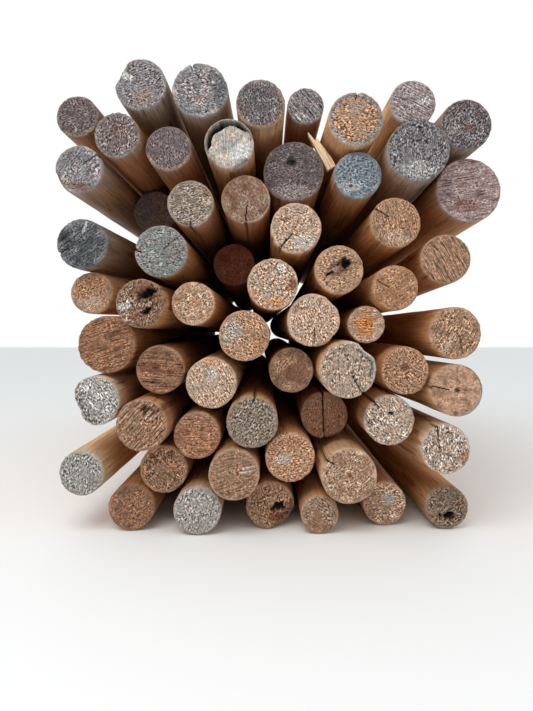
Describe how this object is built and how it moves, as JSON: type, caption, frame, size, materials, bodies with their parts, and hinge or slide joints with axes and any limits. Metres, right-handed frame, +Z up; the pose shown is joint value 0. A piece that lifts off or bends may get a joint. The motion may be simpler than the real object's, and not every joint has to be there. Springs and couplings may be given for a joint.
{
  "type": "stack of logs",
  "caption": "Stack of peeled softwood poles lying side by side in courses, squared up at the back and ragged in front, with weathered, cracked and partly rotten saw-cut ends.",
  "frame": {"origin": "on the ground under the middle of the stack's box", "axes": "+Z up, +Y along the poles from their ragged front ends to the squared-up back, +X to the right as seen from the front"},
  "size_m": [1.7422, 3.0834, 1.7699],
  "materials": {
    "peeled_wood": "weathered",
    "split_wood": "raw split"
  },
  "bodies": {
    "root": {"course_1": "peeled_wood", "course_2": "peeled_wood", "course_3": "peeled_wood", "course_4": "peeled_wood", "course_5": "peeled_wood", "course_6": "peeled_wood", "course_7": "peeled_wood", "course_8": "peeled_wood", "course_9": "peeled_wood", "split_sliver": "split_wood"}
  },
  "joints": []
}
